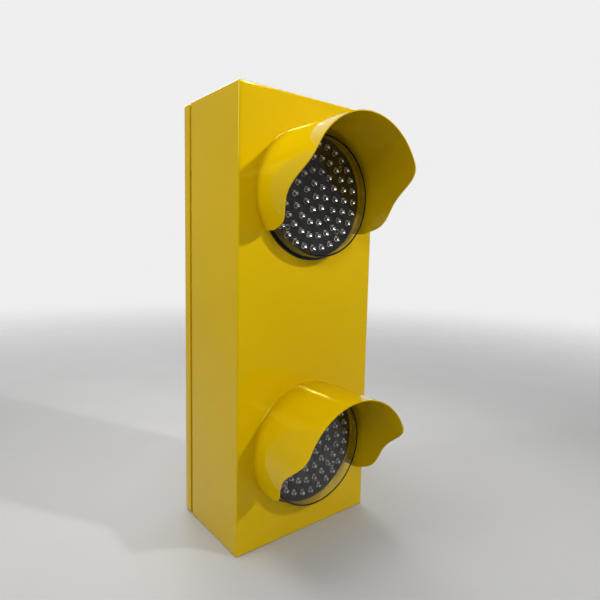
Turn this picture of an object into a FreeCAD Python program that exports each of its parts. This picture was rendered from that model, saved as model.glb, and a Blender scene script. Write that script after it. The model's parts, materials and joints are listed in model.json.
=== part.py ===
"""Two-lamp traffic signal head: a folded sheet-metal case with a hinged rear door.

Shapes are drawn with the origin at the middle of the front panel's outer face:
x to the right seen from the front, y to the back, z up.
save() moves them to the part's own frame, whose origin is the middle of the two
bolt holes in the bottom wall, on the wall's underside. All sizes are millimetres.
"""
import FreeCAD, Part
import math
import os

os.makedirs("parts", exist_ok=True)
V = FreeCAD.Vector

# ---------------------------------------------------------------- driving dimensions
width = 270.0
height = 705.0
depth = 150.0
sheet = 1.5
half_w = width / 2
half_h = height / 2
front_fold = 3.0
edge_fold = 2.0

lamp_z = 202.5
lamps = {"upper": lamp_z, "lower": -lamp_z}
panel_hole_r = 99.3

gutter = 14.0
rim_rise = 10.0
rim_face = 11.0
rim_return = 15.0
rim_fold = 1.2

visor_r = 107.0
visor_reach = 123.0

door_y = 158.0
door_deep = 20.0
door_lip = 8.0
door_fold = 3.5
door_gap = 0.5
post_x = 126.0
post_z = 240.0
post_r = 4.5
post_gap = 0.2
post_notch_r = 8.0
door_hole_r = 4.75

hinge_x = 139.7
hinge_y = 154.0
hinge_z = 291.0
hinge_tall = 42.0
hinge_r = 4.7
leaf_thick = 2.5
leaf_near = 5.0
leaf_far = 20.0
leaf_screw_hole_r = 2.1
body_screw_y = hinge_y - 12.5
door_screw_y = hinge_y + 13.0
leaf_screws = (-14.0, 14.0)
pin_r = 2.0
pin_clear = 0.05

bolt_y = 95.5
bolt_x = 92.5
bolt_r = 2.75

gland_x = 72.4
gland_z = -232.0
gland_thread_r = 6.2
gland_bore_r = 3.9
gland_insert_r = 3.25
gland_washer = 1.2
gland_hex_thick = 5.0
gland_nut_thick = 5.0
gland_tip = 8.0

cover_front = -26.7
cover_front_r = 93.4
cover_root_r = 96.0
cover_flange_r = 104.0
cover_wall = 2.5
module_r = 110.7
module_y = 3.5
module_back = 34.6
module_wall = 2.5
cavity_r = 82.5
board_y = -4.5
board_thick = 1.6
board_r = 91.8
board_screw_r = 71.5
led_r = 2.5
led_tall = 8.6
led_foot_r = 2.9
led_clock = {"upper": -2.4, "lower": 3.5}
led_rings = [(0.0, 1), (20.3, 7), (40.5, 14), (60.5, 22), (80.0, 28)]

clip_angles = {"upper": [90.0, 210.0, -32.0], "lower": [29.5, 149.3, 270.0]}
clip_skews = {"upper": [0.0, -8.7, 6.5], "lower": [-9.5, 5.0, 0.0]}
clip_wide = 14.0
clip_thick = 1.2
clip_foot_end = 126.4
stud_reach = 119.5
stud_r = 2.0

recess_half = 28.5
recess_top = -55.0
recess_floor = 16.0
plug_centre = {"upper": (9.0, -66.0), "lower": (7.7, -66.0)}
plug_r = {"upper": 4.2, "lower": 6.2}
plug_holes = {"upper": [(9.0, -64.7), (9.0, -67.3)],
              "lower": [(7.7, -62.8), (7.7, -66.0), (10.8, -65.0), (9.6, -68.6), (5.8, -68.6), (4.6, -65.0)]}

wire_r = 1.1
wire_clear = 0.1
pole_long = 19.0
pole_wide = 8.6
wire_in_pole = 5.0
screw_apart = 3.0
web_wide = 6.0
poles = {
    "terminal_block_1": [((66.3, 36.0, -292.9), (50.0, 38.0, -302.6))],
    "terminal_block_2": [((71.9, 34.0, -303.7), (55.6, 36.0, -314.2))],
    "terminal_block_3": [((-2.6, 37.0, -311.0), (-16.3, 37.0, -324.1)),
                         ((4.7, 37.0, -318.6), (-9.0, 37.0, -331.7))],
    "terminal_block_4": [((24.9, 48.0, -321.5), (29.8, 51.8, -339.5)),
                         ((15.3, 48.0, -324.0), (20.2, 51.8, -342.0))],
}

# Routes of the wires, from the plug in a module's back to a terminal block.
wires = {
    "link_wire_black": [
        (9, 12, 137.8), (9, 24, 137.8), (-2, 28.5, 136), (-14, 27, 125.5), (-30, 23.5, 108.5),
        (-48, 18.5, 87.5), (-66.5, 14, 66), (-76, 12, 44), (-66, 10.5, 23), (-54.5, 10, 8),
        (-49, 10, -12), (-41, 10, -38), (-19, 10.5, -56.5), (12, 11.5, -76), (40, 13, -94),
        (76, 16, -104), (106, 20, -122), (124, 25, -150), (130.5, 30, -185), (131, 35, -217),
        (127, 38.5, -245), (112, 38.5, -270), (92, 36.5, -281), (71.4, 35.4, -289.8), (62, 36.5, -295.4)],
    "link_wire_yellow": [
        (9, 12, 135.2), (9, 24, 135.2), (-2.5, 28, 132.5), (-13, 25.5, 121.8), (-29, 21, 107),
        (-49, 16, 88), (-67, 10.9, 65.5), (-73, 10.4, 44.6), (-63.7, 9.5, 24.1), (-52.1, 9.5, 8.9),
        (-46.5, 9.5, -11.3), (-38.9, 9.5, -36.5), (-17.5, 9.8, -54.4), (13.4, 10.4, -73.8), (41.1, 11, -91.8),
        (76.3, 13.2, -103.2), (105, 17.2, -121.5), (121.5, 23, -150.8), (127.9, 29.2, -185), (128.3, 34.2, -217),
        (125.5, 36, -245.6), (113, 35.9, -272.5), (96, 34.2, -288), (76.9, 33.4, -300.5), (67.7, 34.5, -306.4)],
    "tail_wire_black": [
        (7.7, 12, -268.5), (7.7, 24, -268.5), (3, 35, -275), (-3, 43, -288), (-3.5, 46.5, -301),
        (8, 47, -305.5), (25, 44, -305), (44.9, 38.6, -305.7), (54.3, 37.5, -300.1)],
    "tail_wire_yellow": [
        (7.7, 12, -265.3), (7.7, 26, -265.3), (2.5, 38, -272), (-6, 47, -283), (-6, 50.5, -297),
        (6, 50.5, -306), (22, 46, -310), (38, 41, -314.5), (50.6, 36.6, -317.4), (59.8, 35.5, -311.5)],
    "red_wire_1": [
        (9.6, 12, -271.1), (9.6, 23, -271.1), (11.5, 30, -281), (10, 32.5, -294), (1.7, 37, -306.9), (-6.2, 37, -314.5)],
    "red_wire_2": [
        (10.8, 12, -267.5), (10.8, 25, -267.5), (14, 33.5, -278), (14, 35.5, -295), (9, 37, -314.5), (1.1, 37, -322.1)],
    "supply_wire_black": [
        (5.8, 12, -271.1), (5.8, 24, -271.1), (4.5, 33, -281), (6, 37.5, -296.5), (8.5, 42, -311.5),
        (23.3, 46.8, -315.8), (26.2, 49, -326.2)],
    "earth_wire_green": [
        (4.6, 12, -267.5), (4.6, 25, -267.5), (-2, 33, -276), (-6.5, 38, -288), (-4, 40.5, -301),
        (3, 42.5, -311), (13.7, 46.8, -318.3), (16.6, 49, -328.7)],
}

# Blank paper tags on the wires: middle, direction of the wire, length, width, and
# the loop behind the face that goes round the wires: side, side, depth.
tags = {
    "wire_tag_1": ((-35.2, 22.0, 102.4), (-18.0, -5.0, -21.0), 18.0, 10.6, (-3.2, 1.4, 5.0)),
    "wire_tag_2": ((-54.3, 10.0, 7.4), (9.0, 0.0, -19.0), 15.0, 10.0, (-3.2, 2.9, 3.2)),
    "wire_tag_3": ((27.1, 44.6, -308.6), (-17.0, 4.5, 3.0), 16.0, 13.0, (-4.8, 6.1, 4.4)),
    "wire_tag_4": ((7.3, 39.8, -304.2), (2.5, 4.5, -15.0), 11.0, 8.0, (-2.3, 1.4, 2.8)),
}


# ---------------------------------------------------------------- shape helpers
def box(x0, x1, y0, y1, z0, z1):
    """Box between two corners, given in any order."""
    lo = V(min(x0, x1), min(y0, y1), min(z0, z1))
    return Part.makeBox(abs(x1 - x0), abs(y1 - y0), abs(z1 - z0), lo)


def rod_y(radius, y0, y1, x=0.0, z=0.0):
    """Cylinder along y."""
    return Part.makeCylinder(radius, y1 - y0, V(x, y0, z), V(0, 1, 0))


def ring_y(outer, inner, y0, y1, x=0.0, z=0.0):
    """Tube along y."""
    return rod_y(outer, y0, y1, x, z).cut(rod_y(inner, y0 - 1, y1 + 1, x, z))


def turned(profile, x=0.0, z=0.0):
    """Solid of revolution about an axis along y, from (radius, y) corners."""
    corners = [V(r, y, 0) for r, y in profile]
    face = Part.Face(Part.makePolygon(corners + corners[:1]))
    solid = face.revolve(V(0, 0, 0), V(0, 1, 0), 360)
    return solid.translate(V(x, 0, z))


def hexagon(across_flats, y0, y1, x=0.0, z=0.0, turn=0.0):
    """Hexagonal prism along y."""
    reach = across_flats / math.sqrt(3)
    corners = []
    for k in range(6):
        a = math.radians(60 * k + turn)
        corners.append(V(x + reach * math.cos(a), y0, z + reach * math.sin(a)))
    return Part.Face(Part.makePolygon(corners + corners[:1])).extrude(V(0, y1 - y0, 0))


def slab(corners, way):
    """Prism from a closed outline of 3-D corners, pushed along way."""
    points = [V(*c) for c in corners]
    return Part.Face(Part.makePolygon(points + points[:1])).extrude(V(*way))


def frame_ring(inset0, inset1, y0, y1, half_x=half_w, half_z=half_h):
    """Rectangular ring, between two insets from the case's outline."""
    outer = box(inset0 - half_x, half_x - inset0, y0, y1, inset0 - half_z, half_z - inset0)
    inner = box(inset1 - half_x, half_x - inset1, y0 - 1, y1 + 1, inset1 - half_z, half_z - inset1)
    return outer.cut(inner)


def edges_where(shape, test):
    """Straight edges whose two ends both pass a test."""
    found = []
    for edge in shape.Edges:
        ends = [v.Point for v in edge.Vertexes]
        if len(ends) == 2 and all(test(p) for p in ends):
            found.append(edge)
    return found


def is_near(a, b):
    return abs(a - b) < 0.01


def rounded_block(half_x, half_z, y0, y1, face_y, face_fold, corner_fold):
    """Block with its four corners rounded along y, and one face's edges folded."""
    block = box(-half_x, half_x, y0, y1, -half_z, half_z)
    corners = [e for e in block.Edges if abs(e.tangentAt(e.FirstParameter).y) > 0.99]
    block = block.makeFillet(corner_fold, corners)
    rim = [e for e in block.Edges if all(is_near(v.Point.y, face_y) for v in e.Vertexes)]
    return block.makeFillet(face_fold, rim)


def polar(radius, degrees):
    a = math.radians(degrees)
    return radius * math.cos(a), radius * math.sin(a)


def group(shapes):
    return Part.makeCompound(shapes)


def save(node, shape):
    """Move a node's solids into the part's frame and write its STEP file."""
    solids = []
    for solid in shape.Solids:
        moved = solid.copy()
        moved.translate(V(0, -bolt_y, half_h))
        if not moved.isValid():
            raise RuntimeError(node + " holds an invalid solid")
        solids.append(moved)
    whole = solids[0] if len(solids) == 1 else Part.makeCompound(solids)
    whole.exportStep("parts/" + node + ".step")
    print(node, len(solids), "solids", round(sum(s.Volume for s in solids) / 1000, 2), "cm3")


# ---------------------------------------------------------------- case
def rim_strip():
    """The gutter, raised lip and inner return that run round the door opening."""
    gutter_floor = frame_ring(0, gutter, depth - sheet, depth)
    riser = frame_ring(gutter, gutter + sheet, depth - sheet, depth + rim_rise)
    face = frame_ring(gutter, gutter + rim_face, depth + rim_rise - sheet, depth + rim_rise)
    back = frame_ring(gutter + rim_face - sheet, gutter + rim_face,
                      depth + rim_rise - rim_return, depth + rim_rise)
    return gutter_floor.fuse([riser, face, back]).removeSplitter()


def lip_edges(shape, inset, y):
    """The four straight edges at one inset and one depth."""
    def on_line(p):
        on_x = is_near(abs(p.x), half_w - inset) and abs(p.z) <= half_h - inset + 0.01
        on_z = is_near(abs(p.z), half_h - inset) and abs(p.x) <= half_w - inset + 0.01
        return is_near(p.y, y) and (on_x or on_z)
    return edges_where(shape, on_line)


def housing():
    """Case shell, split where its three sheets meet: wrap, top end and bottom end."""
    outer = rounded_block(half_w, half_h, 0, depth, 0, front_fold, edge_fold)
    hollow = box(sheet - half_w, half_w - sheet, sheet, depth + 1, sheet - half_h, half_h - sheet)
    shell = outer.cut(hollow)
    strip = rim_strip()
    strip = strip.makeFillet(rim_fold, lip_edges(strip, gutter, depth + rim_rise))
    strip = strip.makeFillet(rim_fold, lip_edges(strip, gutter + rim_face, depth + rim_rise))
    trimmer = rounded_block(half_w, half_h, -1, depth + rim_rise + 1, -1, 0.5, edge_fold)
    shell = shell.fuse(strip.common(trimmer)).removeSplitter()
    for z in lamps.values():
        shell = shell.cut(rod_y(panel_hole_r, -1, sheet + 1, 0, z))
    for side in (-1, 1):
        shell = shell.cut(Part.makeCylinder(bolt_r, 4 * sheet, V(side * bolt_x, bolt_y, -half_h - 1)))
        for z in (hinge_z, -hinge_z):
            for along in leaf_screws:
                shell = shell.cut(hinge_screw_hole(body_screw_y, z + along))
    ends = {}
    rim_in = gutter + rim_face
    for name, up in (("top", 1), ("bottom", -1)):
        wall = box(sheet - half_w, half_w - sheet, sheet, depth - sheet,
                   up * (half_h - sheet), up * half_h)
        mitre = slab([(-half_w, depth - sheet, up * half_h), (half_w, depth - sheet, up * half_h),
                      (half_w - rim_in, depth - sheet, up * (half_h - rim_in)),
                      (rim_in - half_w, depth - sheet, up * (half_h - rim_in))],
                     (0, 2 * rim_return, 0))
        back = box(rim_in - half_w, half_w - rim_in, depth + rim_rise - rim_return, depth - sheet,
                   up * (half_h - rim_in - 1), up * (half_h - gutter))
        corner = slab([(rim_in - half_w - sheet, depth + rim_rise - rim_return, up * (half_h - rim_in + sheet)),
                       (half_w - rim_in + sheet, depth + rim_rise - rim_return, up * (half_h - rim_in + sheet)),
                       (half_w - rim_in, depth + rim_rise - rim_return, up * (half_h - rim_in)),
                       (rim_in - half_w, depth + rim_rise - rim_return, up * (half_h - rim_in))],
                      (0, rim_return - rim_rise - sheet, 0))
        region = wall.fuse([mitre, back.common(corner)])
        ends[name] = shell.common(region)
        shell = shell.cut(region)
    save("housing_wrap", shell)
    save("top_end_panel", ends["top"])
    save("bottom_end_panel", ends["bottom"])


def visor(z):
    """Rolled hood with scooped sides, welded to the panel round one lamp."""
    tube = ring_y(visor_r, visor_r - sheet, -visor_reach, 0)
    scoop = [V(0, -visor_reach, 50), V(0, -113, 27.7), V(0, -91, 9.3), V(0, -74, -9.3),
             V(0, -66, -27.7), V(0, -55, -43.5), V(0, -30, -53.5), V(0, 0, -55.9)]
    curve = Part.BSplineCurve()
    curve.interpolate(Points=scoop, InitialTangent=V(0, 0, -22), FinalTangent=V(0, 30, -1))
    top = visor_r + 1
    outline = Part.Wire([curve.toShape(),
                         Part.makeLine(scoop[-1], V(0, 0, top)),
                         Part.makeLine(V(0, 0, top), V(0, -visor_reach, top)),
                         Part.makeLine(V(0, -visor_reach, top), scoop[0])])
    keep = Part.Face(outline).extrude(V(top, 0, 0))
    keep = keep.fuse(keep.mirror(V(0, 0, 0), V(1, 0, 0)))
    return tube.common(keep).translate(V(0, 0, z))


# ---------------------------------------------------------------- rear door
def door():
    """Folded pan in two nodes: its back skin, and its edge flange, notched at the posts."""
    half_z = half_h - door_gap
    back = door_y + door_deep
    pan = rounded_block(half_w, half_z, door_y, back, back, door_fold, 2.5)
    front_rim = [e for e in pan.Edges if all(is_near(v.Point.y, door_y) for v in e.Vertexes)]
    pan = pan.makeFillet(1.2, front_rim)
    inside = rounded_block(half_w - sheet, half_z - sheet, door_y + sheet, back - sheet,
                           back - sheet, 2.0, 1.2)
    mouth = box(door_lip - half_w, half_w - door_lip, door_y - 1, door_y + 2 * sheet,
                door_lip - half_z, half_z - door_lip)
    pan = pan.cut(inside).cut(mouth)
    notch_limit = half_w - 1.6 * sheet
    for x in (-post_x, post_x):
        for z in (-post_z, post_z):
            notch = rod_y(post_notch_r, door_y - 1, door_y + sheet + 0.5, x, z)
            notch = notch.common(box(-notch_limit, notch_limit, 0, 2 * back, -half_h, half_h))
            pan = pan.cut(notch)
            pan = pan.cut(rod_y(door_hole_r, back - 2 * sheet, back + 1, x, z))
    pan = pan.cut(rod_y(gland_thread_r + 0.1, back - 2 * sheet, back + 1, gland_x, gland_z))
    for z in (hinge_z, -hinge_z):
        for along in leaf_screws:
            pan = pan.cut(hinge_screw_hole(door_screw_y, z + along))
    skin_room = box(-width, width, back - door_fold, back + 1, -height, height)
    save("rear_door", pan.common(skin_room))
    save("door_edge_flange", pan.cut(skin_room))


def door_posts():
    """Threaded standoffs that stand in the gutter and carry the closed door."""
    end = door_y + door_deep - sheet - post_gap
    posts = []
    for x in (-post_x, post_x):
        for z in (-post_z, post_z):
            post = rod_y(post_r, depth, end, x, z)
            post = post.cut(rod_y(2.1, end - 20, end + 1, x, z))
            rim = [e for e in post.Edges if is_near(e.BoundBox.YMin, end) and is_near(e.Length, 2 * math.pi * post_r)]
            posts.append(post.makeFillet(0.5, rim))
    save("door_posts", group(posts))


# ---------------------------------------------------------------- hinges
def rod_z(radius, z0, z1, x, y):
    return Part.makeCylinder(radius, z1 - z0, V(x, y, z0))


def rod_x(radius, x0, x1, y, z):
    return Part.makeCylinder(radius, x1 - x0, V(x0, y, z), V(1, 0, 0))


def hinge_screw_hole(y, z):
    return rod_x(leaf_screw_hole_r, half_w - 3 * sheet, half_w + 1, y, z)


def countersunk_screw(y, z):
    """Countersunk self-tapping screw, driven inwards through a leaf and the sheet."""
    head_x = half_w + leaf_thick
    head = Part.makeCone(2.0, 3.6, 1.9, V(head_x - 1.9, y, z), V(1, 0, 0))
    shank = rod_x(2.0, half_w - 4.0, head_x - 1.9, y, z)
    tip = Part.makeCone(0.8, 2.0, 1.5, V(half_w - 5.5, y, z), V(1, 0, 0))
    drive = box(head_x - 0.9, head_x + 1, y - 0.45, y + 0.45, z - 2, z + 2)
    cross = box(head_x - 0.9, head_x + 1, y - 2, y + 2, z - 0.45, z + 0.45)
    return head.fuse([shank, tip]).cut(drive).cut(cross)


def leaf(mid_z, side, knuckle_spans, hole_r):
    """One hinge leaf: side -1 lies on the case, +1 on the door."""
    near = hinge_y + side * leaf_near
    far = hinge_y + side * leaf_far
    plate = box(half_w, half_w + leaf_thick, near, far, mid_z - hinge_tall / 2, mid_z + hinge_tall / 2)
    outer = [e for e in plate.Edges
             if all(is_near(v.Point.y, far) for v in e.Vertexes) and abs(e.tangentAt(e.FirstParameter).x) > 0.9]
    plate = plate.makeFillet(2.5, outer)
    parts = []
    for z0, z1 in knuckle_spans:
        parts.append(rod_z(hinge_r, mid_z + z0, mid_z + z1, hinge_x, hinge_y))
        parts.append(box(half_w, hinge_x, near, hinge_y, mid_z + z0, mid_z + z1)
                     .common(rod_z(6.9, mid_z + z0, mid_z + z1, hinge_x, hinge_y)))
    body = plate.fuse(parts).removeSplitter()
    body = body.cut(rod_z(hole_r, mid_z - hinge_tall, mid_z + hinge_tall, hinge_x, hinge_y))
    screw_y = body_screw_y if side < 0 else door_screw_y
    for along in leaf_screws:
        z = mid_z + along
        body = body.cut(rod_x(leaf_screw_hole_r, half_w - 1, half_w + leaf_thick + 1, screw_y, z))
        sink = Part.makeCone(leaf_screw_hole_r, 3.75, 2.0, V(half_w + leaf_thick - 2.0, screw_y, z), V(1, 0, 0))
        body = body.cut(sink)
    return body


def hinges():
    """Two three-knuckle butt hinges on the right-hand side, with their pins and screws."""
    half = hinge_tall / 2
    fixed_spans = [(-half, -7.15), (7.15, half)]
    moving_spans = [(-6.85, 6.85)]
    pins = []
    fixed_screws = []
    moving_screws = []
    for name, z in (("upper", hinge_z), ("lower", -hinge_z)):
        save(name + "_hinge_body_leaf", leaf(z, -1, fixed_spans, pin_r))
        save(name + "_hinge_door_leaf", leaf(z, 1, moving_spans, pin_r + pin_clear))
        pin = rod_z(pin_r, z - half, z + half, hinge_x, hinge_y)
        head = rod_z(3.2, z + half, z + half + 1.0, hinge_x, hinge_y)
        pins.append(pin.fuse(head).removeSplitter())
        for along in leaf_screws:
            fixed_screws.append(countersunk_screw(body_screw_y, z + along))
            moving_screws.append(countersunk_screw(door_screw_y, z + along))
    save("hinge_pins", group(pins))
    save("hinge_body_screws", group(fixed_screws))
    save("hinge_door_screws", group(moving_screws))


# ---------------------------------------------------------------- cable gland in the door
def cable_gland():
    """Gland in the door: threaded body, seal washer, locknut inside, insert and dome nut."""
    x = gland_x
    z = gland_z
    skin_in = door_y + door_deep - sheet
    skin_out = door_y + door_deep
    seal_end = skin_out + gland_washer
    hex_end = seal_end + gland_hex_thick
    shank_end = hex_end + gland_tip
    nut_start = skin_in - gland_nut_thick
    seal = ring_y(9.0, gland_thread_r + 0.05, skin_out, seal_end, x, z)
    shank = rod_y(gland_thread_r, nut_start - 2.0, shank_end, x, z)
    collar = hexagon(17.0, seal_end, hex_end, x, z)
    body = shank.fuse(collar).cut(rod_y(gland_bore_r, nut_start - 3, shank_end + 1, x, z))
    nut = hexagon(19.0, nut_start, skin_in, x, z, 12)
    nut = nut.common(turned([(0, nut_start), (9.9, nut_start), (11.2, nut_start + 1.0),
                             (11.2, skin_in), (0, skin_in)], x, z))
    nut = nut.cut(rod_y(gland_thread_r + 0.05, nut_start - 1, skin_in + 1, x, z))
    insert = turned([(gland_insert_r, shank_end), (5.8, shank_end),
                     (5.4, shank_end + 7.0), (gland_insert_r, shank_end + 7.0)], x, z)
    cap_y = hex_end + 0.4
    dome = hexagon(17.0, cap_y, cap_y + 10.0, x, z)
    nose = turned([(0, cap_y), (8.4, cap_y), (8.4, cap_y + 11.0), (5.6, cap_y + 17.5),
                   (0, cap_y + 17.5)], x, z)
    room = turned([(0, cap_y - 1), (gland_thread_r + 0.05, cap_y - 1), (gland_thread_r + 0.05, shank_end + 1.0),
                   (5.6, shank_end + 7.6), (4.0, shank_end + 7.6), (4.0, cap_y + 19), (0, cap_y + 19)], x, z)
    save("gland_body", body.removeSplitter())
    save("gland_seal", seal)
    save("gland_locknut", nut)
    save("gland_insert", insert)
    save("gland_dome_nut", dome.fuse(nose).cut(room).removeSplitter())


# ---------------------------------------------------------------- lamp modules
def gasket(z):
    return turned([(96.4, -0.8), (98.9, -0.8), (98.9, sheet), (109.0, sheet),
                   (109.0, module_y), (96.4, module_y)], 0, z)


def lens_cover(z):
    """Clear cup with a flat front, tapered skirt and clamping flange."""
    root = cover_root_r
    front = cover_front
    inner = cover_front_r - cover_wall
    return turned([(0, front), (cover_front_r - 1.0, front), (cover_front_r, front + 1.0), (root, 0),
                   (root, module_y), (cover_flange_r, module_y), (cover_flange_r, module_y + 2),
                   (root - cover_wall, module_y + 2), (root - cover_wall, 0), (inner, front + 3.0),
                   (0, front + 3.0)], 0, z)


def screw_angles(name):
    return [led_clock[name] + 45.5 + 90 * k for k in range(4)]


def led_board(name, z):
    board = rod_y(board_r, board_y, board_y + board_thick, 0, z)
    for a in screw_angles(name):
        dx, dz = polar(board_screw_r, a)
        board = board.cut(rod_y(1.7, board_y - 1, board_y + 3, dx, z + dz))
    return board


def board_screws(name, z):
    screws = []
    for a in screw_angles(name):
        dx, dz = polar(board_screw_r, a)
        head = turned([(0, board_y - 1.9), (1.8, board_y - 1.9), (2.9, board_y - 1.1), (2.9, board_y), (0, board_y)],
                      dx, z + dz)
        shank = rod_y(1.4, board_y, board_y + 10, dx, z + dz)
        drive = box(dx - 0.4, dx + 0.4, board_y - 3, board_y - 0.9, z + dz - 1.8, z + dz + 1.8)
        cross = box(dx - 1.8, dx + 1.8, board_y - 3, board_y - 0.9, z + dz - 0.4, z + dz + 0.4)
        screws.append(head.fuse(shank).cut(drive).cut(cross))
    return group(screws)


def leds(name, z):
    """Clear 5 mm lamps on the board, in five rings."""
    tip = board_y - led_tall
    profile = [V(0, tip, 0), V(led_r, tip + led_r, 0), V(led_r, board_y - 1, 0),
               V(led_foot_r, board_y - 1, 0), V(led_foot_r, board_y, 0), V(0, board_y, 0)]
    across, rise = polar(led_r, 45)
    dome = Part.Arc(profile[0], V(across, tip + led_r - rise, 0), profile[1]).toShape()
    sides = [Part.makeLine(profile[k], profile[k + 1]) for k in range(1, 5)]
    sides.append(Part.makeLine(profile[5], profile[0]))
    lamp = Part.Face(Part.Wire([dome] + sides)).revolve(V(0, 0, 0), V(0, 1, 0), 360)
    lamps_out = []
    for radius, count in led_rings:
        for k in range(count):
            dx, dz = polar(radius, led_clock[name] + 360.0 * k / count)
            one = lamp.copy()
            one.translate(V(dx, 0, z + dz))
            lamps_out.append(one)
    return group(lamps_out)


def module_housing(name, z):
    """Black stepped dish behind the lamp, with a recess where the wires come out."""
    back = module_back
    wall = module_wall
    outer = turned([(0, module_y), (module_r, module_y), (module_r, 6.6), (110.2, 7.1), (104.5, 7.5),
                    (103.0, 10.0), (85.4, 10.0), (84.4, 10.8), (68.8, 33.6), (67.4, back), (0, back)])
    seat = turned([(0, module_y - 1), (cover_flange_r + 0.2, module_y - 1),
                   (cover_flange_r + 0.2, module_y + 2), (0, module_y + 2)])
    cavity = turned([(0, module_y + 1), (cavity_r, module_y + 1), (cavity_r, 8.5),
                     (66.2, back - wall), (0, back - wall)])
    pocket = box(-recess_half, recess_half, recess_floor, back + 5, recess_top - 40, recess_top)
    pocket_wall = box(-recess_half - wall, recess_half + wall, recess_floor - wall, back + 5,
                      recess_top - 40, recess_top + wall)
    shell = outer.cut(seat).cut(cavity.cut(pocket_wall)).cut(pocket)
    boss_y = board_y + board_thick
    boss_end = 27
    boss_room = turned([(0, boss_y), (cavity_r, boss_y), (cavity_r, 10), (71.0, boss_end), (0, boss_end)])
    bosses = []
    for a in screw_angles(name):
        dx, dz = polar(board_screw_r, a)
        bosses.append(rod_y(4.0, boss_y, boss_end, dx, dz).common(boss_room))
    shell = shell.fuse(bosses)
    for a in screw_angles(name):
        dx, dz = polar(board_screw_r, a)
        shell = shell.cut(rod_y(1.5, board_y, board_y + 11, dx, dz))
    gx, gz = plug_centre[name]
    shell = shell.cut(rod_y(plug_r[name], recess_floor - wall - 1, recess_floor + 1, gx, gz))
    shell = shell.cut(ring_y(4.8, 4.2, back - 0.4, back + 1))
    return shell.removeSplitter().translate(V(0, 0, z))


def plug(name, z):
    """Rubber plug in the recess floor, with a hole for each wire."""
    gx, gz = plug_centre[name]
    floor = recess_floor
    groove = plug_r[name]
    lip = groove + 1.5
    body = turned([(0, floor - 4.0), (lip, floor - 4.0), (lip, floor - 2.5), (groove, floor - 2.5),
                   (groove, floor), (lip, floor), (lip - 0.6, floor + 1.8), (0, floor + 1.8)], gx, gz)
    for hx, hz in plug_holes[name]:
        body = body.cut(rod_y(wire_r + 0.5 * wire_clear, floor - 5, floor + 3, hx, hz))
    return body.translate(V(0, 0, z))


def driver_board(z):
    """Power supply inside the sealed module: board, legs and its large components."""
    y = 18.0
    mid_z = z + 8
    leg_end = module_back - module_wall
    solids = [box(-38, 38, y, y + board_thick, mid_z - 26, mid_z + 26)]
    for x in (-34, 34):
        for dz in (-22, 22):
            solids.append(rod_y(2.5, y + board_thick, leg_end, x, mid_z + dz))
    solids.append(rod_y(6.0, y - 12, y, -26, mid_z + 12))
    solids.append(rod_y(5.0, y - 11, y, -26, mid_z - 8))
    solids.append(box(-12, 8, y - 12, y, mid_z - 9, mid_z + 11))
    solids.append(box(14, 20, y - 9, y, mid_z - 14, mid_z + 4))
    solids.append(box(24, 34, y - 8, y, mid_z - 12, mid_z + 12))
    return group(solids)


def bent_clip():
    """Zinc strip, drawn radially along +x: foot on the panel, riser, leg on the flange."""
    foot_top = sheet + clip_thick
    leg_y = 10.0
    low = [(clip_foot_end, sheet), (112.8, sheet), (111.8, 8.2), (104.0, leg_y), (87.2, leg_y)]
    high = [(87.2, leg_y + clip_thick), (104.2, leg_y + clip_thick), (112.7, 9.2), (113.8, foot_top),
            (clip_foot_end, foot_top)]
    corners = [(r, y, -clip_wide / 2) for r, y in low + high]
    strip = slab(corners, (0, 0, clip_wide))
    ends = [e for e in strip.Edges if is_near(e.Length, clip_thick)]
    strip = strip.makeFillet(2.5, [e for e in ends if is_near(e.Vertexes[0].Point.x, clip_foot_end)])
    return strip.cut(rod_y(stud_r + 0.3, 0, 5, stud_reach, 0))


def clips(name, z):
    """Three strips, their welded studs and their nuts."""
    strips = []
    studs = []
    nuts = []
    for angle, skew in zip(clip_angles[name], clip_skews[name]):
        dx, dz = polar(stud_reach, angle)
        strip = bent_clip()
        strip.rotate(V(stud_reach, 0, 0), V(0, 1, 0), -skew)
        strip.rotate(V(0, 0, 0), V(0, 1, 0), -angle)
        strips.append(strip.translate(V(0, 0, z)))
        studs.append(rod_y(stud_r, sheet, 9.5, dx, z + dz))
        foot_top = sheet + clip_thick
        nut = hexagon(7.0, foot_top, foot_top + 3.2, dx, z + dz, angle)
        nuts.append(nut.cut(rod_y(stud_r + 0.1, 0, 9, dx, z + dz)))
    return group(strips), group(studs), group(nuts)


def modules():
    studs = []
    for name, z in lamps.items():
        save(name + "_visor", visor(z))
        save(name + "_gasket", gasket(z))
        save(name + "_lens_cover", lens_cover(z))
        save(name + "_led_board", led_board(name, z))
        save(name + "_leds", leds(name, z))
        save(name + "_board_screws", board_screws(name, z))
        save(name + "_module_housing", module_housing(name, z))
        save(name + "_plug", plug(name, z))
        save(name + "_driver_board", driver_board(z))
        strips, new_studs, nuts = clips(name, z)
        save(name + "_clips", strips)
        save(name + "_clip_nuts", nuts)
        studs += new_studs.Solids
    save("clip_studs", group(studs))


# ---------------------------------------------------------------- wiring inside the case
def rounded_path(points):
    """Straight runs joined by tangent arcs, each as large as its two runs allow."""
    points = [V(*p) for p in points]
    edges = []
    here = points[0]
    radii = []
    for k in range(1, len(points) - 1):
        back = points[k - 1] - points[k]
        ahead = points[k + 1] - points[k]
        reach = 0.45 * min(back.Length, ahead.Length)
        half_turn = (math.pi - back.getAngle(ahead)) / 2
        radii.append(reach / math.tan(half_turn))
        back.normalize()
        ahead.normalize()
        start = points[k] + back * reach
        end = points[k] + ahead * reach
        middle = back + ahead
        middle.normalize()
        inset = radii[-1] / math.cos(half_turn) - radii[-1]
        edges.append(Part.LineSegment(here, start).toShape())
        edges.append(Part.Arc(start, points[k] + middle * inset, end).toShape())
        here = end
    edges.append(Part.LineSegment(here, points[-1]).toShape())
    return Part.Wire(edges), radii


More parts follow.
